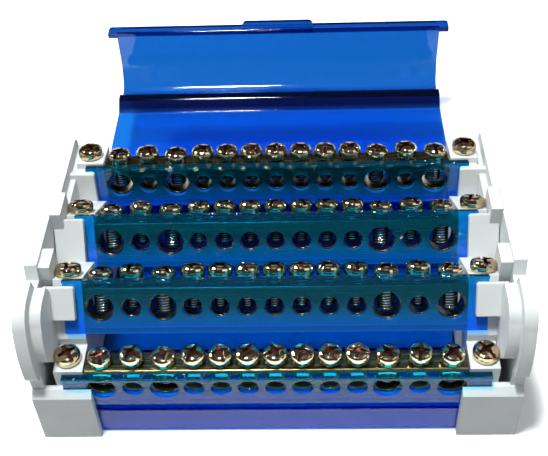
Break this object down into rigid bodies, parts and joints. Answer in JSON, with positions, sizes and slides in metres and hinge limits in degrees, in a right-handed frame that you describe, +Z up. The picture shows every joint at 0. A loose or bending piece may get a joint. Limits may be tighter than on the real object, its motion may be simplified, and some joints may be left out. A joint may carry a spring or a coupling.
{
  "type": "power distribution block",
  "caption": "Rail-mounted power distribution block with stepped busbars, screw terminals in two sizes, grey end brackets and a transparent hinged lid, shown open.",
  "frame": {"origin": "centre line of the rail, midway between the end brackets, in the plane of the base", "axes": "+X along the busbars, +Y from the front to the hinge, +Z up and away from the rail"},
  "size_m": [0.14, 0.1591, 0.052],
  "materials": {
    "bracket_plastic": "fine satin",
    "clear_blue": "transparent, glossy",
    "bar_brass": "machined",
    "screw_zinc": "yellow passivated",
    "pad_screw_zinc": "yellow passivated",
    "latch_plastic": "fine satin"
  },
  "bodies": {
    "frame": {"end_bracket_left": "bracket_plastic", "end_bracket_right": "bracket_plastic", "base_tray": "clear_blue", "bracket_screws_left": "pad_screw_zinc", "bracket_screws_right": "pad_screw_zinc", "busbar_1": "bar_brass", "shroud_1": "clear_blue", "clamp_screws_large_1": "screw_zinc", "clamp_screws_small_1": "screw_zinc", "busbar_2": "bar_brass", "shroud_2": "clear_blue", "clamp_screws_large_2": "screw_zinc", "clamp_screws_small_2": "screw_zinc", "busbar_3": "bar_brass", "shroud_3": "clear_blue", "clamp_screws_large_3": "screw_zinc", "clamp_screws_small_3": "screw_zinc", "busbar_4": "bar_brass", "shroud_4": "clear_blue", "clamp_screws_large_4": "screw_zinc", "clamp_screws_small_4": "screw_zinc"},
    "lid": {"lid": "clear_blue"},
    "latch_left": {"rail_latch_left": "latch_plastic"},
    "latch_right": {"rail_latch_right": "latch_plastic"}
  },
  "joints": [
    {"name": "lid_hinge", "type": "hinge", "parent": "frame", "child": "lid", "pos_m": [0, 0.032, 0.0362], "axis": [1, 0, 0], "range_deg": [0, 180]},
    {"name": "latch_left_slide", "type": "slide", "parent": "frame", "child": "latch_left", "axis": [0, 1, 0], "range_m": [0, 0.003]},
    {"name": "latch_right_slide", "type": "slide", "parent": "frame", "child": "latch_right", "axis": [0, 1, 0], "range_m": [0, 0.003]}
  ]
}
